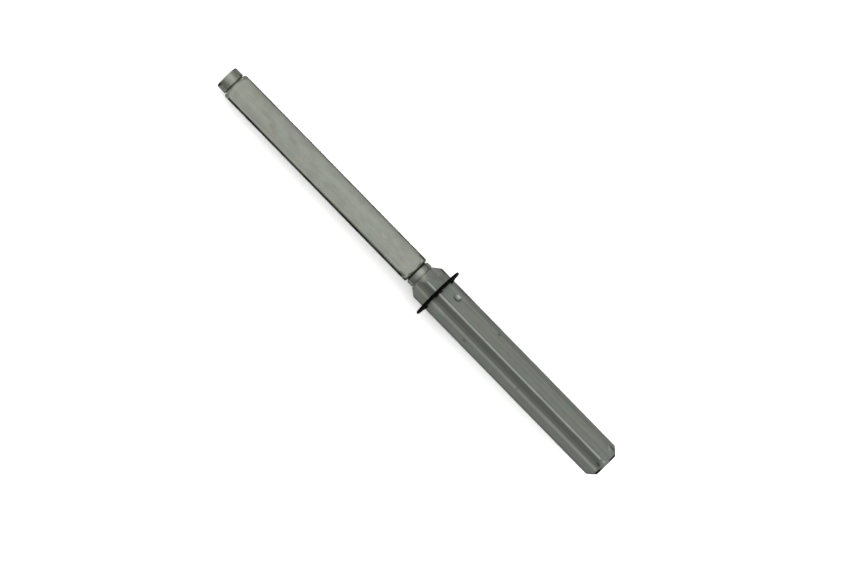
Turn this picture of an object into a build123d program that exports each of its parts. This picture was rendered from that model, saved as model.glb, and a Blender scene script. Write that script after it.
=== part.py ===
from build123d import *
import os
from math import cos, radians, sin, sqrt, tan

# Square bar that both halves of the spindle are cut from, in millimetres
square = 9.0
edge_radius = 0.65
stop_clocking = 45.0  # turn of the stop half about the axis; the swivel half has its flats level

# Lengths along the axis, where x is 0 at the inner face of the swivel half
swivel_length = 78.6
stop_length = 79.4
split_gap = 0.5

# Turned ends of the bars, whose round end faces lie inside the flats
swivel_end_inset = 0.35
swivel_taper_angle = 45.0
stop_end_inset = 0.6
stop_taper_angle = 40.0
end_taper_bow = 0.15

# Hub and shoulder turned on the inner end of the stop half
hub_inset = 0.25  # from the flats in to the hub
hub_length = 2.4
hub_bevel = 0.25
crease_width = 0.35  # groove between the hub and the shoulder
crease_depth = 0.3
shoulder_step = 0.15
shoulder_angle = 37.5

# Pilot turned on the free end of the swivel half
pilot_diameter = 7.8
pilot_length = 3.7
pilot_bevel = 0.2
relief_width = 0.5
relief_depth = 0.5

# Swivel joint inside the stop half: a journal that turns in a blind bore
thrust_diameter = 7.2  # collar round the root of the journal, which keeps the halves apart
thrust_play = 0.1
journal_diameter = 5.9
journal_land = 1.3  # past the groove
journal_bevel = 0.5
running_clearance = 0.05
bore_bottom_clearance = 0.6
drill_point_angle = 118.0

# Stake mark on one flat, and the nib that it raises on the wall of the bore
stake_distance = 12.0
stake_diameter = 2.7
stake_depth = 0.6
nib_height = 0.5
nib_root_diameter = 1.8
nib_tip_diameter = 1.0
nib_embed = 0.3
groove_side_clearance = 0.3
groove_floor_clearance = 0.15

# Push-on stop washer, pressed from spring steel sheet
stop_face_distance = 9.1
washer_diameter = 17.6
washer_sheet = 0.8
washer_edge_bevel = 0.2
rim_width = 1.0
dish_depth = 0.15
hole_clearance = 0.25
hole_corner_radius = 0.9
tang_width = 2.8
tang_lift = 0.63
tang_slit = 0.35
grip_clearance = 0.02

# Places and sizes worked out from those above
hub_face_x = split_gap
hub_root_x = hub_face_x + hub_length
stop_end_x = hub_root_x + stop_length
pilot_root_x = -swivel_length
pilot_end_x = pilot_root_x - pilot_length
stake_x = hub_root_x + stake_distance
hub_radius = square / 2 - hub_inset
swivel_end_radius = square / 2 - swivel_end_inset
stop_end_radius = square / 2 - stop_end_inset
bore_radius = journal_diameter / 2 + running_clearance
groove_width = nib_root_diameter + 2 * groove_side_clearance
groove_radius = bore_radius - nib_height - groove_floor_clearance
journal_end_x = stake_x + groove_width / 2 + journal_land
bore_end_x = journal_end_x + bore_bottom_clearance
blank_radius = square / sqrt(2) + 0.5  # clear of the corners of the bar
overrun = 1.0  # how far a cut starts outside the surface


# Solid of revolution about the axis, from edges drawn as (x, radius)
def turned(*edges):
    return revolve(make_face(Curve() + list(edges)), axis=Axis.X)


# Section of the bar, or of an opening that clears it all round
def bar_section(clearance=0.0):
    side = square + 2 * clearance
    return RectangleRounded(side, side, edge_radius + clearance)


# Section stood square to the axis at x_from, turned about it, and run on to x_to
def along_axis(section, x_from, x_to, clocking):
    return extrude(Plane.YZ.offset(x_from) * Rot(0, 0, clocking) * section, amount=x_to - x_from)


# Slightly bowed taper from an end face out to the blank; inward is the way into the bar
def end_taper(x_face, face_radius, slope, inward):
    angle = radians(slope)
    run = (blank_radius - face_radius) / tan(angle)
    low = (x_face, face_radius)
    high = (x_face + inward * run, blank_radius)
    middle_x = x_face + inward * (run / 2 - end_taper_bow * sin(angle))
    middle_radius = (face_radius + blank_radius) / 2 + end_taper_bow * cos(angle)
    return low, high, ThreePointArc(low, (middle_x, middle_radius), high)


# Blank of the stop half: shoulder at the hub, plain middle, taper at the free end
def stop_blank():
    step_radius = hub_radius + shoulder_step
    shoulder_run = (blank_radius - step_radius) / tan(radians(shoulder_angle))
    shoulder_top = (hub_root_x + shoulder_run, blank_radius)
    low, high, taper = end_taper(stop_end_x, stop_end_radius, stop_taper_angle, -1)
    outline = Polyline((stop_end_x, 0), (hub_root_x, 0), (hub_root_x, step_radius), shoulder_top, high)
    return turned(outline, taper, Line(low, (stop_end_x, 0)))


# Hub in front of the square, with a bevelled face, and the narrow crease behind it
def hub():
    crease_x = hub_root_x - crease_width
    return turned(
        Polyline(
            (hub_root_x, 0),
            (hub_face_x, 0),
            (hub_face_x, hub_radius - hub_bevel),
            (hub_face_x + hub_bevel, hub_radius),
            (crease_x, hub_radius),
            (crease_x, hub_radius - crease_depth),
            (hub_root_x, hub_radius - crease_depth),
            close=True,
        )
    )


# Blind bore with a drilled point, open at the face of the hub
def bore():
    point_run = bore_radius / tan(radians(drill_point_angle / 2))
    return turned(
        Polyline(
            (hub_face_x - overrun, 0),
            (hub_face_x - overrun, bore_radius),
            (bore_end_x, bore_radius),
            (bore_end_x + point_run, 0),
            close=True,
        )
    )


# Plane on the axis below the stake mark, with its z out through the middle of that flat
def stake_plane():
    angle = radians(stop_clocking)
    return Plane(origin=(stake_x, 0, 0), x_dir=(1, 0, 0), z_dir=(0, cos(angle), sin(angle)))


# Ball-nosed punch that sinks the stake mark into the flat
def punch():
    ball_radius = ((stake_diameter / 2) ** 2 + stake_depth**2) / (2 * stake_depth)
    return stake_plane() * Pos(0, 0, square / 2 - stake_depth + ball_radius) * Sphere(ball_radius)


# Nib on the wall of the bore, right below the stake mark
def nib():
    taper = (nib_root_diameter - nib_tip_diameter) / 2 / nib_height
    root_radius = nib_root_diameter / 2 + taper * nib_embed
    height = nib_height + nib_embed
    foot = (Align.CENTER, Align.CENTER, Align.MIN)
    cone = Cone(nib_tip_diameter / 2, root_radius, height, align=foot)
    return stake_plane() * Pos(0, 0, bore_radius - nib_height) * cone


def make_stop_half():
    bar = along_axis(bar_section(), hub_root_x, stop_end_x, stop_clocking) & stop_blank()
    return bar + hub() - bore() - punch() + nib()


# Blank of the swivel half: tapers at both ends
def swivel_blank():
    radius, slope = swivel_end_radius, swivel_taper_angle
    inner_low, inner_high, inner_taper = end_taper(0, radius, slope, -1)
    outer_low, outer_high, outer_taper = end_taper(pilot_root_x, radius, slope, 1)
    return turned(
        Line((0, 0), inner_low),
        inner_taper,
        Line(inner_high, outer_high),
        outer_taper,
        Polyline(outer_low, (pilot_root_x, 0), (0, 0)),
    )


# Round pilot on the free end, undercut where it meets the square
def pilot():
    radius = pilot_diameter / 2
    return turned(
        Polyline(
            (pilot_end_x, 0),
            (pilot_end_x, radius - pilot_bevel),
            (pilot_end_x + pilot_bevel, radius),
            (pilot_root_x - relief_width, radius),
            (pilot_root_x - relief_width, radius - relief_depth),
            (pilot_root_x, radius - relief_depth),
            (pilot_root_x, 0),
            close=True,
        )
    )


# Thrust collar, and the journal with the annular groove that the nib runs in
def journal():
    radius = journal_diameter / 2
    thrust_x = split_gap - thrust_play
    groove_from = stake_x - groove_width / 2
    groove_to = stake_x + groove_width / 2
    return turned(
        Polyline(
            (0, 0),
            (0, thrust_diameter / 2),
            (thrust_x, thrust_diameter / 2),
            (thrust_x, radius),
            (groove_from, radius),
            (groove_from, groove_radius),
            (groove_to, groove_radius),
            (groove_to, radius),
            (journal_end_x - journal_bevel, radius),
            (journal_end_x, radius - journal_bevel),
            (journal_end_x, 0),
            close=True,
        )
    )


def make_swivel_half():
    bar = along_axis(bar_section(), pilot_root_x, 0, 0) & swivel_blank()
    return bar + pilot() + journal()


# Sheet of the washer from one radius in to another, rising towards the free end as it goes in
def washer_ring(outer_radius, inner_radius, rise):
    x_inner = stop_face_distance + rise
    return turned(
        Polyline(
            (stop_face_distance, outer_radius),
            (x_inner, inner_radius),
            (x_inner + washer_sheet, inner_radius),
            (stop_face_distance + washer_sheet, outer_radius),
            close=True,
        )
    )


# Plan drawn square to the axis and run right through the washer
def through_washer(plan, clocking):
    depth = washer_sheet + dish_depth + tang_lift
    return along_axis(plan, stop_face_distance - overrun, stop_face_distance + depth + overrun, clocking)


# Four strips of one width, each from the axis out over an edge of the bar
def corner_strips(length, width):
    strip = Pos(length / 2, 0) * Rectangle(length, width)
    return Sketch() + [Rot(0, 0, 45 + 90 * corner) * strip for corner in range(4)]


# Flat rim with bevelled edges and dished middle, with a square hole and a window for each tang
def washer_plate():
    rim_radius = washer_diameter / 2
    dish_radius = rim_radius - rim_width
    rim = washer_ring(rim_radius, dish_radius, 0)
    rim_edges = rim.edges().filter_by(GeomType.CIRCLE).sort_by(lambda edge: edge.radius)[-2:]
    sheet = chamfer(rim_edges, washer_edge_bevel) + washer_ring(dish_radius, square / 2, dish_depth)
    hole_side = square + 2 * hole_clearance
    hole = RectangleRounded(hole_side, hole_side, hole_corner_radius)
    windows = corner_strips(dish_radius, tang_width + 2 * tang_slit)
    return sheet - through_washer(hole, stop_clocking) - through_washer(windows, stop_clocking)


# Tangs bent out of the sheet, which reach back into the flat rim
def tangs():
    root_radius = washer_diameter / 2 - rim_width
    bent = washer_ring(root_radius, square / 2, dish_depth + tang_lift)
    root = washer_ring(root_radius + rim_width / 2, root_radius, 0)
    strips = corner_strips(root_radius + rim_width, tang_width)
    return (bent + root) & through_washer(strips, stop_clocking)


# Whole washer, with each tang notched to sit over its edge of the bar
def make_stop_washer():
    return washer_plate() + tangs() - through_washer(bar_section(grip_clearance), stop_clocking)


nodes = {
    "stop_half": make_stop_half(),
    "swivel_half": make_swivel_half(),
    "stop_washer": make_stop_washer(),
}
os.makedirs("parts", exist_ok=True)
for name, shape in nodes.items():
    export_step(shape, f"parts/{name}.step")
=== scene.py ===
import math
import bpy
from mathutils import Matrix, Vector


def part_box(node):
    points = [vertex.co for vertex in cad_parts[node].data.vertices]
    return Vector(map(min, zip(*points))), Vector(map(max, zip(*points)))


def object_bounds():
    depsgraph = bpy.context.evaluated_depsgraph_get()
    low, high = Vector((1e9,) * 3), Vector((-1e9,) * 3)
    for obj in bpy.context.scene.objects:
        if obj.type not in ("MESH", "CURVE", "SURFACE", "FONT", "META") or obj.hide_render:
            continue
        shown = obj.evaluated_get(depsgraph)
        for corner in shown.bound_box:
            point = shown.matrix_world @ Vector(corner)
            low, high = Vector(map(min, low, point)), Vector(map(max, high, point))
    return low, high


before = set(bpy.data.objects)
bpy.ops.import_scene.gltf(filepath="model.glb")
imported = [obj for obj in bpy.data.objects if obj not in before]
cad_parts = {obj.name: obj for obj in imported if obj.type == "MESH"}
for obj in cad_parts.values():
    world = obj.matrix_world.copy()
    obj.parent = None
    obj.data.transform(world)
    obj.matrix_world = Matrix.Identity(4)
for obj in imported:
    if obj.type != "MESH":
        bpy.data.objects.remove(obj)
cadLow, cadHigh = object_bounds()
print("spindle loaded:", ", ".join(sorted(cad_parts)))

plainWhite = (1, 1, 1, 1)
perMetre = 1000.0  # millimetres


# Small helpers for building node trees
def addNode(tree, kind, **settings):
    node = tree.nodes.new("ShaderNode" + kind)
    for key, value in settings.items():
        setattr(node, key, value)
    return node


def plug(tree, value, socket):
    if isinstance(value, bpy.types.NodeSocket):
        tree.links.new(value, socket)
    else:
        socket.default_value = value


def calc(tree, operation, *values):
    node = addNode(tree, "Math", operation=operation)
    for value, socket in zip(values, node.inputs):
        plug(tree, value, socket)
    return node.outputs[0]


def calcVector(tree, operation, *values):
    node = addNode(tree, "VectorMath", operation=operation)
    for value, socket in zip(values, node.inputs):
        plug(tree, value, socket)
    return node.outputs["Value" if operation in ("LENGTH", "DOT_PRODUCT") else "Vector"]


def scaled(tree, vector, amount):
    node = addNode(tree, "VectorMath", operation="SCALE")
    plug(tree, vector, node.inputs["Vector"])
    plug(tree, amount, node.inputs["Scale"])
    return node.outputs["Vector"]


def distance(tree, value, middle):
    return calc(tree, "ABSOLUTE", calc(tree, "SUBTRACT", value, middle))


def fade(tree, value, start, end, low=0.0, high=1.0):
    node = addNode(tree, "MapRange", interpolation_type="SMOOTHSTEP")
    plug(tree, value, node.inputs["Value"])
    node.inputs["From Min"].default_value = start
    node.inputs["From Max"].default_value = end
    node.inputs["To Min"].default_value = low
    node.inputs["To Max"].default_value = high
    return node.outputs[0]


def noise(tree, vector, scale, detail=3.0, roughness=0.55):
    node = addNode(tree, "TexNoise")
    plug(tree, vector, node.inputs["Vector"])
    node.inputs["Scale"].default_value = scale
    node.inputs["Detail"].default_value = detail
    node.inputs["Roughness"].default_value = roughness
    return node.outputs[0]


def stretchedNoise(tree, vector, stretch, detail, roughness=0.55):
    return noise(tree, calcVector(tree, "MULTIPLY", vector, stretch), 1.0, detail, roughness)


# Noise that follows one value only, which gives the rings of a lathe or a press tool
def ringNoise(tree, value, scale):
    vector = addNode(tree, "CombineXYZ")
    tree.links.new(value, vector.inputs[0])
    return noise(tree, vector.outputs[0], scale, 2.0)


def blend(tree, factor, first, second, isColour=False):
    node = addNode(tree, "Mix", data_type="RGBA" if isColour else "FLOAT")
    plug(tree, factor, node.inputs[0])
    plug(tree, first, node.inputs[6 if isColour else 2])
    plug(tree, second, node.inputs[7 if isColour else 3])
    return node.outputs[2 if isColour else 0]


# Tone times a strength, where the mask is 1
def toned(tree, tone, mask, strength):
    return calc(tree, "MULTIPLY", tone, blend(tree, mask, 1.0, strength))


def bumpNormal(tree, height, depth):
    bump = addNode(tree, "Bump")
    bump.inputs["Distance"].default_value = depth
    tree.links.new(height, bump.inputs["Height"])
    return bump.outputs["Normal"]


def newMaterial(name):
    material = bpy.data.materials.new(name)
    material.use_nodes = True
    tree = material.node_tree
    return material, tree, tree.nodes["Principled BSDF"]


def bareMaterial(name):
    material, tree, shader = newMaterial(name)
    tree.nodes.remove(shader)
    return material, tree, tree.nodes["Material Output"].inputs["Surface"]


def connectShader(tree, shader, colour, rough, normal):
    tree.links.new(colour, shader.inputs["Base Color"])
    tree.links.new(rough, shader.inputs["Roughness"])
    tree.links.new(normal, shader.inputs["Normal"])


# Place on the part in millimetres, the distance from its axis, and which way the surface faces
def partPlace(tree):
    coords = addNode(tree, "TexCoord")
    place = scaled(tree, coords.outputs["Object"], perMetre)
    split = addNode(tree, "SeparateXYZ")
    tree.links.new(place, split.inputs[0])
    across = calcVector(tree, "MULTIPLY", place, (0.0, 1.0, 1.0))
    return {
        "place": place,
        "x": split.outputs["X"],
        "y": split.outputs["Y"],
        "radius": calcVector(tree, "LENGTH", across),
        "facing": coords.outputs["Normal"],
    }


def facesTo(tree, at, way):
    return calcVector(tree, "DOT_PRODUCT", at["facing"], way)


# Ways that the flats and edges of the square bar face
sides = {
    "+Z": (0, 0, 1),
    "-Z": (0, 0, -1),
    "+Y": (0, 1, 0),
    "-Y": (0, -1, 0),
    "+Y+Z": (0, 0.7071, 0.7071),
    "-Y+Z": (0, -0.7071, 0.7071),
    "+Y-Z": (0, 0.7071, -0.7071),
    "-Y-Z": (0, -0.7071, -0.7071),
}

# Dull zinc plating on drawn bar. All places are in millimetres in the part's own frame.
# A range is where a pattern starts and ends to show, and tones after it are those it goes between
plating = {
    "casts": (  # shift of the pattern, scale, start, end, tint
        ((40.0, 7.0, 3.0), 0.16, 0.48, 0.68, (0.95, 1.0, 1.02, 1)),    # cool
        ((-25.0, 19.0, 11.0), 0.21, 0.50, 0.70, (1.03, 1.0, 0.96, 1)),  # warm
        ((9.0, -31.0, 5.0), 0.18, 0.52, 0.72, (1.0, 0.965, 1.03, 1)),   # violet
    ),
    "edgeTint": (0.35, 0.35, 0.35, 1),
    "grimeTint": (1.0, 1.03, 0.82, 1),
    "roughness": 0.37,
    "patchRoughness": 0.05,              # either way, from patch to patch
    "lineRoughness": 0.04,               # either way, from line to line
    "lineDepth": 0.000006,               # metres
    "grainDepth": 0.000002,
    "lineStretch": (0.035, 2.6, 2.6),    # cells per millimetre along and across the bar
    "broadStretch": (0.012, 0.75, 0.75),
    "mottleStretch": (0.22, 0.45, 0.45),
    "patchStretch": (0.11, 0.0, 0.0),
    "ringScale": 2.3,
    "grainScale": 9.0,
    "midRange": (0.3, 0.7),
    "wideRange": (0.2, 0.8),
    "patchRange": (0.42, 0.58),
    "ringTones": (0.36, 0.62, 0.80, 1.10),
    "broadTones": (0.3, 0.7, 0.94, 1.06),
    "grainTones": (0.2, 0.8, 0.97, 1.03),
    "mottleSpread": 0.06,
    "turnedTilt": (0.2, 0.4),            # how far along the axis a turned surface faces
    "bevelTilt": (0.3, 0.5),
    "flatAim": (0.9, 0.99),              # how squarely a flat, or an edge, faces its way
    "edgeAim": (0.73, 0.84),
    "bandCore": 0.35,                    # share of a band's half width that has its full tone
    "bevelSoftness": 0.3,
    "tiltSoftness": 0.06,
    "runOutPast": 0.78,                  # from the taper to the middle of the run-out line
    "runOutFade": (0.30, 0.08),
    "raggedScale": 1.7,
    "raggedReach": 1.6,
    "markFade": (1.15, 0.45),
    "pitScale": 1.35,
    "pitRange": (0.765, 0.80),
    "pitTone": 0.75,
    "darkEndRagged": 0.4,
    "darkEndBeside": (1.1, 1.9),         # the middle of the end face stays bright
    "darkEndTone": 0.30,
}

# Columns of both halves:
# turnedZones: middle and half length along the axis
# shadeAndGrimeZones: middle, half length, inside this radius, tone of the painted shade there
# bands: way the flat faces, middle and half width in y, tone
# edges: way the edge faces, and the two tones it varies between, as painted highlight or painted
# dark reflection
# bevels: middle, half length, between these radii, least tilt upwards, tone of the painted light or
# shade
# runOuts: end face, way into the bar, radius there, tone
# marksAndPaintedLight: place, half size, tone; real marks and painted light alike
stopHalf = {
    # the same plating as the swivel half, set a little darker as painted shade for the sloping flats
    "colour": (0.265, 0.281, 0.250, 1),
    "mottling": 1.0,
    "lining": 0.07,                      # how strongly the drawing lines show
    "turnedZones": ((1.45, 1.5),),       # the hub
    "shadeAndGrimeZones": (
        (2.72, 0.2, 4.22, 0.72),         # painted shade in the crease behind the hub
        (0.5, 0.04, 4.1, 0.25),          # painted shade on the face of the hub, in the slot
        (9.0, 8.6, 3.1, 0.25),           # painted shade in the bore
    ),
    "bands": (
        ("-Y+Z", -1.15, 1.0, 0.60),
        ("-Y+Z", -2.15, 0.85, 0.76),
        ("-Y+Z", -3.2, 0.55, 1.36),
        ("-Y+Z", -4.7, 1.2, 0.90),
        ("-Y+Z", -5.8, 0.5, 0.76),
        ("+Y+Z", 5.3, 1.2, 0.84),
        ("+Y+Z", 2.1, 0.7, 0.97),
    ),
    "edges": (
        # painted highlight along the upper and lower ridges, painted dark reflection along the side
        # ridges
        ("+Z", 1.10, 1.22),
        ("+Y", 0.68, 0.44),
        ("-Y", 0.52, 0.38),
        ("-Z", 1.05, 1.20),
    ),
    "bevels": (
        # painted highlight by the face of the hub, painted shade over the taper of the free end
        (0.6, 0.16, 4.0, 4.6, -2.0, 1.25),
        (81.0, 1.35, 3.95, 7.0, -2.0, 0.80),
    ),
    "runOuts": (),
    "marksAndPaintedLight": (
        # nicks on the flats
        ((31.6, 4.4, 2.0), (0.7, 0.5, 0.6), 0.55),
        ((25.3, -4.3, 2.1), (0.6, 0.5, 0.6), 0.6),
        ((47.1, -3.2, 3.2), (0.5, 0.5, 0.6), 0.65),
        # painted highlights and painted dark reflections at the free end
        ((79.4, 4.4, 2.0), (0.9, 0.35, 0.5), 1.45),
        ((79.9, 3.9, 2.5), (0.8, 0.3, 0.5), 1.35),
        ((80.0, 4.9, 1.4), (1.2, 0.45, 0.7), 0.62),
        ((81.3, 0.1, 4.6), (1.05, 0.5, 1.6), 1.5),
        ((80.6, -1.5, 4.5), (1.1, 0.45, 0.7), 0.45),
        ((82.1, -3.0, 2.7), (0.75, 1.6, 2.0), 0.06),
        ((82.2, 3.3, 2.3), (0.40, 1.6, 1.8), 0.16),
        # beside the stake mark, and where the ridge meets the shoulder
        ((14.9, 3.2, 3.2), (1.3, 1.0, 1.0), 0.86),
        ((3.7, 0.1, 4.9), (0.9, 0.8, 0.9), 1.22),
        # painted light on the top and upper -Y side of the hub, painted shade down both its sides
        ((1.5, -3.2, 2.8), (1.9, 0.55, 1.4), 0.42),
        ((1.5, 3.3, 2.7), (1.9, 0.55, 1.4), 0.50),
        ((1.5, 0.6, 4.25), (2.0, 1.6, 1.2), 1.10),
        ((1.5, -2.1, 3.7), (1.9, 0.8, 1.0), 1.5),
        # painted light behind the washer, lifting the shade it casts on the flats
        ((12.5, -3.3, 3.1), (3.5, 2.0, 2.0), 1.15),
        ((12.5, 4.3, 2.1), (3.5, 1.2, 1.2), 1.10),
        # painted dark reflection on the outer edges of the free end
        ((81.2, 4.9, 0.4), (1.6, 1.0, 1.3), 0.42),
        ((81.2, -4.9, 0.4), (1.6, 1.0, 1.3), 0.55),
        # smears on the shoulder, painted dark reflection along the +Y outer edge, and a lighter
        # patch by the other
        ((5.2, 2.8, 3.6), (2.3, 1.5, 1.5), 0.82),
        ((7.3, 4.0, 2.4), (1.3, 1.4, 1.4), 0.76),
        ((5.6, 5.9, 0.6), (2.8, 0.55, 0.8), 0.36),
        ((15.2, 5.9, 0.6), (4.2, 0.50, 0.8), 0.50),
        ((27.0, 5.9, 0.6), (4.5, 0.40, 0.7), 0.66),
        ((5.3, -4.6, 1.9), (1.6, 0.4, 0.6), 1.16),
    ),
    "darkEnd": (81.75, 82.1),
}

swivelHalf = {
    "colour": (0.283, 0.296, 0.256, 1),
    "mottling": 1.6,
    "lining": 0.04,
    "turnedZones": ((-80.5, 1.95), (9.0, 9.0)),  # the pilot, the journal
    "shadeAndGrimeZones": (
        (-78.85, 0.3, 3.75, 0.36),       # painted shade in the undercut behind the pilot
        (9.1, 9.1, 5.0, 0.10),           # painted shade on the collar and journal, in the slot
    ),
    "bands": (
        ("+Z", -2.85, 0.18, 0.90),
        ("+Z", -3.4, 0.45, 1.04),
        ("+Z", 3.70, 0.40, 0.84),
    ),
    "edges": (
        # painted dark reflection along all four edges, darkest along the -Y+Z edge
        ("-Y+Z", 0.26, 0.08),
        ("+Y+Z", 0.66, 0.50),
        ("+Y-Z", 0.80, 0.60),
        ("-Y-Z", 0.65, 0.50),
    ),
    "bevels": (
        # painted highlights: on the upper taper facets at the joint, on the outer taper, and round
        # the end of the pilot
        (-1.0, 1.02, 4.1, 5.3, 0.47, 3.0),
        (-77.7, 0.92, 4.1, 4.9, -2.0, 1.3),
        (-82.2, 0.16, 3.6, 4.3, -2.0, 1.9),
    ),
    "runOuts": ((-78.6, 1, 4.15, 1.13),),
    "marksAndPaintedLight": (
        # painted shade at the corners of the joint, and a painted dark reflection beside the lower
        # edge
        ((-0.6, 4.3, 1.6), (1.3, 0.6, 3.2), 0.32),
        ((-0.6, -4.3, 1.6), (1.3, 0.6, 3.2), 0.45),
        ((-1.7, -3.7, 4.3), (1.7, 0.9, 0.8), 0.64),
        ((-16.0, -3.8, 4.5), (26.0, 0.45, 0.5), 0.62),
        # smears and scratches on the upper flat
        ((-64.7, 0.6, 4.5), (2.6, 0.8, 1.0), 0.90),
        ((-61.9, -0.6, 4.5), (1.6, 1.0, 1.0), 0.87),
        ((-54.1, 0.9, 4.5), (2.2, 0.8, 1.0), 0.90),
        ((-19.2, 1.5, 4.5), (3.4, 0.16, 0.5), 1.14),
        ((-13.8, 0.4, 4.5), (1.2, 0.6, 0.8), 1.10),
        # painted shade on both sides of the pilot and of the undercut
        ((-81.95, -3.1, 2.3), (0.50, 0.9, 1.5), 0.07),
        ((-82.0, 3.1, 2.3), (0.42, 0.8, 1.4), 0.42),
        ((-79.4, 3.3, 2.0), (0.40, 0.9, 1.4), 0.55),
        # painted shade on the edge at the joint
        ((-1.0, 4.5, 3.9), (2.6, 0.75, 1.1), 0.30),
        # painted shade down both sides of the pilot, and on the corner beside it
        ((-80.6, 3.1, 2.4), (2.2, 0.75, 1.1), 0.72),
        ((-80.6, -3.0, 2.5), (2.2, 0.70, 1.1), 0.72),
        ((-77.8, 4.1, 4.2), (1.0, 0.7, 0.8), 0.62),
    ),
    "darkEnd": None,
}


def turnedShare(tree, at, half, lengthwise):
    turned = fade(tree, lengthwise, *plating["turnedTilt"])
    for middle, reach in half["turnedZones"]:
        zone = calc(tree, "COMPARE", at["x"], middle, reach)
        turned = calc(tree, "MAXIMUM", turned, zone)
    return turned


# Faint cool, warm and violet casts of the passivated zinc, on drawn surfaces only
def castColour(tree, at, half, drawn):
    cast = plainWhite
    for shift, scale, start, end, tint in plating["casts"]:
        pattern = noise(tree, calcVector(tree, "ADD", at["place"], shift), scale, 2.0)
        cast = blend(tree, fade(tree, pattern, start, end), cast, tint, True)
    cast = blend(tree, drawn, plainWhite, cast, True)
    return calcVector(tree, "MULTIPLY", cast, half["colour"][:3])


# Lighter and darker bands along one flat, at given places across it
def bandTone(tree, at, half, tone):
    for way, middle, reach, strength in half["bands"]:
        onFlat = fade(tree, facesTo(tree, at, sides[way]), *plating["flatAim"])
        off = distance(tree, at["y"], middle)
        near = fade(tree, off, reach, reach * plating["bandCore"])
        tone = toned(tree, tone, calc(tree, "MULTIPLY", onFlat, near), strength)
    return tone


# Painted reflections on the rounded edges: a painted highlight along the ridges, painted dark lines
# along the other edges, varying in patches
def edgeReflectionTone(tree, at, half, drawn, tone):
    pattern = stretchedNoise(tree, at["place"], plating["patchStretch"], 2.0)
    patches = fade(tree, pattern, *plating["patchRange"])
    for way, firstTone, secondTone in half["edges"]:
        onEdge = fade(tree, facesTo(tree, at, sides[way]), *plating["edgeAim"])
        strength = blend(tree, patches, firstTone, secondTone)
        tone = toned(tree, tone, calc(tree, "MULTIPLY", onEdge, drawn), strength)
    return tone


# Painted light and shade on tapers and bevels: lighter or darker between given radii, only where the
# surface faces upwards enough and slopes along the axis
def bevelLightTone(tree, at, half, lengthwise, tone):
    soft, tiltSoft = plating["bevelSoftness"], plating["tiltSoftness"]
    upwards = facesTo(tree, at, (0.0, 0.0, 1.0))
    for middle, reach, inner, outer, tilt, strength in half["bevels"]:
        outside = calc(tree, "GREATER_THAN", at["radius"], inner)
        under = fade(tree, at["radius"], outer + soft, outer - soft)
        inside = calc(tree, "MULTIPLY", outside, under)
        tilted = fade(tree, upwards, tilt - tiltSoft, tilt + tiltSoft)
        inside = calc(tree, "MULTIPLY", inside, tilted)
        zone = calc(tree, "COMPARE", at["x"], middle, reach)
        inside = calc(tree, "MULTIPLY", zone, inside)
        sloping = fade(tree, lengthwise, *plating["bevelTilt"])
        tone = toned(tree, tone, calc(tree, "MULTIPLY", inside, sloping), strength)
    return tone


# Brighter line on the flats, a given distance past where the taper meets them
def runOutTone(tree, at, half, drawn, tone):
    for endFace, way, endRadius, strength in half["runOuts"]:
        depth = calc(tree, "MULTIPLY", calc(tree, "SUBTRACT", at["x"], endFace), way)
        rise = calc(tree, "SUBTRACT", at["radius"], endRadius)
        past = calc(tree, "SUBTRACT", depth, rise)
        off = distance(tree, past, plating["runOutPast"])
        onLine = fade(tree, off, *plating["runOutFade"])
        tone = toned(tree, tone, calc(tree, "MULTIPLY", onLine, drawn), strength)
    return tone


# Specks, smears and scratches, and small pits all over, together with painted highlights and painted
# shade at given places
def markAndLightTone(tree, at, half, ragged, tone):
    for centre, size, strength in half["marksAndPaintedLight"]:
        offset = calcVector(tree, "SUBTRACT", at["place"], centre)
        reach = calcVector(tree, "LENGTH", calcVector(tree, "DIVIDE", offset, size))
        spot = fade(tree, calc(tree, "ADD", reach, ragged), *plating["markFade"])
        tone = toned(tree, tone, spot, strength)
    pits = noise(tree, at["place"], plating["pitScale"], 1.0, 0.4)
    return toned(tree, tone, fade(tree, pits, *plating["pitRange"]), plating["pitTone"])


# Painted shade in the joint, the bore and the undercuts, where shade falls, with a yellowish grease
# tint to the colour there
def addShadeAndGrime(tree, at, half, colour, tone):
    for middle, reach, radius, strength in half["shadeAndGrimeZones"]:
        zone = calc(tree, "COMPARE", at["x"], middle, reach)
        inside = calc(tree, "MULTIPLY", zone, calc(tree, "LESS_THAN", at["radius"], radius))
        tone = toned(tree, tone, inside, strength)
        tint = blend(tree, inside, plainWhite, plating["grimeTint"], True)
        colour = calcVector(tree, "MULTIPLY", colour, tint)
    return colour, tone


# Painted shade: a dark rim on the free end, with a ragged start
def darkEndTone(tree, at, half, ragged, tone):
    if not half["darkEnd"]:
        return tone
    shift = calc(tree, "MULTIPLY", ragged, plating["darkEndRagged"])
    rim = fade(tree, calc(tree, "ADD", at["x"], shift), *half["darkEnd"])
    beside = fade(tree, calc(tree, "ABSOLUTE", at["y"]), *plating["darkEndBeside"])
    return toned(tree, tone, calc(tree, "MULTIPLY", rim, beside), plating["darkEndTone"])


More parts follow.
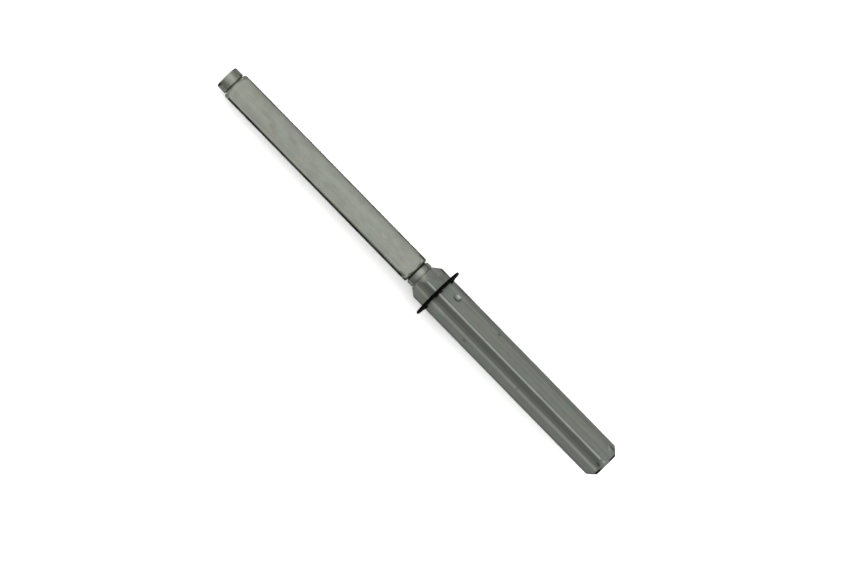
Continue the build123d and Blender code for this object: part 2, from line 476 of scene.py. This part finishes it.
def platedSteel(name, half):
    material, tree, shader = newMaterial(name)
    at = partPlace(tree)
    place = at["place"]
    lengthwise = calc(tree, "ABSOLUTE", facesTo(tree, at, (1.0, 0.0, 0.0)))
    turned = turnedShare(tree, at, half, lengthwise)
    drawn = calc(tree, "SUBTRACT", 1.0, turned)

    # turned surfaces show rings, drawn ones show lines along the bar
    rings = ringNoise(tree, calc(tree, "ADD", at["x"], at["radius"]), plating["ringScale"])
    lines = stretchedNoise(tree, place, plating["lineStretch"], 4.0, 0.6)
    texture = blend(tree, turned, lines, rings)
    broad = stretchedNoise(tree, place, plating["broadStretch"], 2.0)
    mottle = stretchedNoise(tree, place, plating["mottleStretch"], 3.0, 0.6)
    grain = noise(tree, place, plating["grainScale"], 2.0, 0.6)

    lining, spread = half["lining"], plating["mottleSpread"] * half["mottling"]
    lined = fade(tree, lines, *plating["wideRange"], 1 - lining, 1 + lining)
    mottled = fade(tree, mottle, *plating["midRange"], 1 - spread, 1 + spread)
    tone = blend(tree, turned, lined, fade(tree, rings, *plating["ringTones"]))
    tone = calc(tree, "MULTIPLY", tone, fade(tree, broad, *plating["broadTones"]))
    tone = calc(tree, "MULTIPLY", tone, mottled)
    tone = calc(tree, "MULTIPLY", tone, fade(tree, grain, *plating["grainTones"]))

    waver = calc(tree, "SUBTRACT", noise(tree, place, plating["raggedScale"], 3.0), 0.5)
    ragged = calc(tree, "MULTIPLY", waver, plating["raggedReach"])
    tone = bandTone(tree, at, half, tone)
    tone = edgeReflectionTone(tree, at, half, drawn, tone)
    tone = bevelLightTone(tree, at, half, lengthwise, tone)
    tone = runOutTone(tree, at, half, drawn, tone)
    tone = markAndLightTone(tree, at, half, ragged, tone)
    colour = castColour(tree, at, half, drawn)
    colour, tone = addShadeAndGrime(tree, at, half, colour, tone)
    tone = darkEndTone(tree, at, half, ragged, tone)

    middle, patchChange, lineChange = (
        plating["roughness"], plating["patchRoughness"], plating["lineRoughness"]
    )
    fromPatches = fade(tree, mottle, *plating["midRange"], -patchChange, patchChange)
    fromLines = fade(
        tree, texture, *plating["wideRange"], middle - lineChange, middle + lineChange
    )
    rough = calc(tree, "ADD", fromPatches, fromLines)
    grainShare = plating["grainDepth"] / plating["lineDepth"]
    height = calc(tree, "ADD", texture, calc(tree, "MULTIPLY", grain, grainShare))
    normal = bumpNormal(tree, height, plating["lineDepth"])

    shader.inputs["Metallic"].default_value = 1.0
    shader.inputs["Specular Tint"].default_value = plating["edgeTint"]
    connectShader(tree, shader, scaled(tree, colour, tone), rough, normal)
    return material


# Oiled black finish of the spring steel washer
washer = {
    "colour": (0.0012, 0.0012, 0.0013, 1),
    "rubbed": (0.0030, 0.0030, 0.0030, 1),
    "rubbedRadii": (8.3, 8.8),           # the rim is rubbed from the first to the second, in patches
    "rubbedPatches": (0.42, 0.62),
    "roughness": 0.52,
    "patchRoughness": 0.07,
    "grainRoughness": 0.03,
    "patternRange": (0.3, 0.7),
    "gloss": 0.015,
    "grainDepth": 0.000004,              # metres
    "grainScale": 7.0,
    "patchScale": 0.8,
    "ringScale": 2.4,
}


def blackSteel():
    material, tree, shader = newMaterial("blackened spring steel")
    at = partPlace(tree)
    grain = noise(tree, at["place"], washer["grainScale"], 4.0, 0.65)
    patches = noise(tree, at["place"], washer["patchScale"], 3.0)
    pressed = ringNoise(tree, at["radius"], washer["ringScale"])
    atRim = fade(tree, at["radius"], *washer["rubbedRadii"])
    rubbed = calc(tree, "MULTIPLY", atRim, fade(tree, patches, *washer["rubbedPatches"]))
    colour = blend(tree, rubbed, washer["colour"], washer["rubbed"], True)

    middle, patchChange, grainChange = (
        washer["roughness"], washer["patchRoughness"], washer["grainRoughness"]
    )
    fromPatches = fade(tree, patches, *washer["patternRange"], -patchChange, patchChange)
    fromGrain = fade(
        tree, grain, *washer["patternRange"], middle - grainChange, middle + grainChange
    )
    rough = calc(tree, "ADD", fromPatches, fromGrain)
    normal = bumpNormal(tree, calc(tree, "ADD", grain, pressed), washer["grainDepth"])
    shader.inputs["Specular IOR Level"].default_value = washer["gloss"]
    connectShader(tree, shader, colour, rough, normal)
    return material


def dress(node, material):
    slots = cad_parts[node].data.materials
    slots.clear()
    slots.append(material)


dress("stop_half", platedSteel("zinc plate on the stop half", stopHalf))
dress("swivel_half", platedSteel("zinc plate on the swivel half", swivelHalf))
dress("stop_washer", blackSteel())
print("plating and black finish done")

# How the spindle lies: on the rim of the washer and on the lower edge of the swivel half's
# free end. Lengths are in metres
floorPlan = {
    "heelInset": 0.00405,     # from the end of the pilot to the start of the lower flat
    "halfSquare": 0.0045,
    "radius": 5.4,
    "corners": 72,
    "wallTop": 0.3,           # the low wall round the floor ends level, this far above the axis
    "wallGlow": 0.3,          # as it lights the part
    "wallSeen": 1.0,
    "paper": 0.8,             # as it bounces light on to the part
    "paperSeen": 1.95,        # as the camera sees it: plain white, with a faint shadow
    "paperMirrored": 1.0,     # as the gloss of the metal shows it
}


def restPlane():
    washerLow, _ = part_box("stop_washer")
    swivelLow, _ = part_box("swivel_half")
    rimPoint = Vector((washerLow.x, 0, washerLow.z))
    heelPoint = Vector((swivelLow.x + floorPlan["heelInset"], 0, -floorPlan["halfSquare"]))
    along = (rimPoint - heelPoint).normalized()
    return rimPoint, along.cross(Vector((0, 1, 0))).normalized()


# Rays from the camera, and rays that the gloss of the metal sends out
def seenRays(tree):
    rays = addNode(tree, "LightPath").outputs
    mirrored = calc(tree, "MAXIMUM", rays["Is Glossy Ray"], rays["Is Transmission Ray"])
    return rays["Is Camera Ray"], mirrored


def paperMaterial():
    material, tree, surface = bareMaterial("white paper")
    paper = addNode(tree, "BsdfDiffuse")
    fromCamera, mirrored = seenRays(tree)
    colour = blend(tree, mirrored, floorPlan["paper"], floorPlan["paperMirrored"])
    colour = blend(tree, fromCamera, colour, floorPlan["paperSeen"])
    tree.links.new(colour, paper.inputs["Color"])

    # from below it is clear, so that the underside of the part can be looked at
    bySide = addNode(tree, "MixShader")
    tree.links.new(addNode(tree, "NewGeometry").outputs["Backfacing"], bySide.inputs[0])
    tree.links.new(paper.outputs[0], bySide.inputs[1])
    tree.links.new(addNode(tree, "BsdfTransparent").outputs[0], bySide.inputs[2])
    tree.links.new(bySide.outputs[0], surface)
    return material


def backdropMaterial():
    material, tree, surface = bareMaterial("white backdrop")
    glow = addNode(tree, "Emission")
    fromCamera, mirrored = seenRays(tree)
    shown = calc(tree, "MAXIMUM", mirrored, fromCamera)
    strength = blend(tree, shown, floorPlan["wallGlow"], floorPlan["wallSeen"])
    tree.links.new(strength, glow.inputs["Strength"])
    tree.links.new(glow.outputs[0], surface)
    return material


def makeSheet(name, corners, faces, material):
    mesh = bpy.data.meshes.new(name)
    mesh.from_pydata(corners, [], faces)
    mesh.materials.append(material)
    sheet = bpy.data.objects.new(name, mesh)
    bpy.context.scene.collection.objects.link(sheet)


# Round floor with a low wall, which closes the view from the side
def makeFloor(point, normal):
    side = Vector((0, 1, 0))
    along = side.cross(normal)
    count = floorPlan["corners"]
    rim = []
    for step in range(count):
        turn = 2 * math.pi * step / count
        outwards = along * math.cos(turn) + side * math.sin(turn)
        rim.append(point + outwards * floorPlan["radius"])
    makeSheet("floor", rim, [tuple(range(count))], paperMaterial())
    top = [Vector((corner.x, corner.y, floorPlan["wallTop"])) for corner in rim]
    faces = []
    for step in range(count):
        after = (step + 1) % count
        faces.append((step, after, count + after, count + step))
    makeSheet("backdrop", rim + top, faces, backdropMaterial())


floorPoint, floorNormal = restPlane()
if floorNormal.z < 0:
    floorNormal.negate()
makeFloor(floorPoint, floorNormal)
print("floor laid, tilted by %.2f degrees" % math.degrees(floorNormal.angle(Vector((0, 0, 1)))))

# A long pale ceiling over the part, brightest a little to its +Y side, down to dimmer walls
studio = {
    "glow": (                 # degrees about the axis, from straight up towards +Y, and level
        (-180, 0.25),
        (-95, 0.23),
        (-72, 0.27),
        (-45, 0.44),
        (-22, 0.78),
        (0, 1.10),
        (20, 1.28),
        (42, 1.22),
        (60, 0.77),
        (76, 0.36),
        (92, 0.20),
        (180, 0.25),
    ),
    "lampLevel": 0.35,
    "lampLean": 25.0,         # degrees from straight up towards +Y
    "lampSize": (1.6, 0.6),   # metres
    "lampDistance": 2.2,
}


def makeWorld():
    world = bpy.data.worlds.new("studio")
    world.use_nodes = True
    bpy.context.scene.world = world
    tree = world.node_tree
    split = addNode(tree, "SeparateXYZ")
    tree.links.new(addNode(tree, "TexCoord").outputs["Generated"], split.inputs[0])
    angle = calc(tree, "ARCTAN2", split.outputs["Y"], split.outputs["Z"])
    ramp = addNode(tree, "ValToRGB")
    ramp.color_ramp.interpolation = "EASE"
    stops = ramp.color_ramp.elements
    while len(stops) < len(studio["glow"]):
        stops.new(0.5)
    for stop, (degrees, level) in zip(stops, studio["glow"]):
        stop.position = degrees / 360 + 0.5
        stop.color = (level, level, level, 1)
    share = calc(tree, "MULTIPLY_ADD", angle, 1 / (2 * math.pi), 0.5)
    tree.links.new(share, ramp.inputs["Fac"])
    tree.links.new(ramp.outputs["Color"], tree.nodes["Background"].inputs["Color"])


def makeLamp():
    data = bpy.data.lights.new("softLamp", "AREA")
    data.shape = "RECTANGLE"
    data.size, data.size_y = studio["lampSize"]
    data.energy = studio["lampLevel"] * data.size * data.size_y * math.pi
    lamp = bpy.data.objects.new("softLamp", data)
    bpy.context.scene.collection.objects.link(lamp)
    lean = math.radians(studio["lampLean"])
    place = Vector((0, math.sin(lean), math.cos(lean))) * studio["lampDistance"]
    lamp.matrix_world = Matrix.Translation(place) @ Matrix.Rotation(-lean, 4, "X")


makeWorld()
makeLamp()
bpy.context.scene.view_settings.view_transform = "Standard"
print("studio lit")

# The view of the photograph, 868 x 561 pixels, from straight above through a long lens
photo = {
    "width": 868,
    "height": 561,
    "pilotEndPixel": (226.1, 76.3),    # where the two ends of the axis are in the photograph
    "stopEndPixel": (605.7, 465.1),
    "cameraDistance": 2.5,             # metres
    "roll": 0.9,                       # degrees that the camera looks under the lower left side
    "sensorWidth": 36.0,               # millimetres
    "clipEnd": 100,
}


def makeCamera(normal):
    view = Matrix.Rotation(math.radians(photo["roll"]), 3, "X") @ normal
    axis = Vector((1, 0, 0))
    axisSeen = (axis - view * axis.dot(view)).normalized()
    acrossSeen = view.cross(axisSeen)
    fromX, fromY = photo["pilotEndPixel"]
    toX, toY = photo["stopEndPixel"]
    pixels = math.hypot(toX - fromX, toY - fromY)
    cosine, sine = (toX - fromX) / pixels, (toY - fromY) / pixels
    right = axisSeen * cosine + acrossSeen * sine
    up = acrossSeen * cosine - axisSeen * sine
    perPixel = (cadHigh.x - cadLow.x) * axisSeen.x / pixels
    offX = (fromX + toX) / 2 - photo["width"] / 2
    offY = (fromY + toY) / 2 - photo["height"] / 2
    middle = Vector(((cadLow.x + cadHigh.x) / 2, 0, 0))
    aim = middle - right * offX * perPixel + up * offY * perPixel
    data = bpy.data.cameras.new("camera")
    data.sensor_width = photo["sensorWidth"]
    data.lens = photo["sensorWidth"] * photo["cameraDistance"] / (perPixel * photo["width"])
    data.clip_end = photo["clipEnd"]
    camera = bpy.data.objects.new("camera", data)
    bpy.context.scene.collection.objects.link(camera)
    turn = Matrix((right, up, view)).transposed()
    place = aim + view * photo["cameraDistance"]
    camera.matrix_world = Matrix.Translation(place) @ turn.to_4x4()
    bpy.context.scene.camera = camera


makeCamera(floorNormal)
print("camera set")
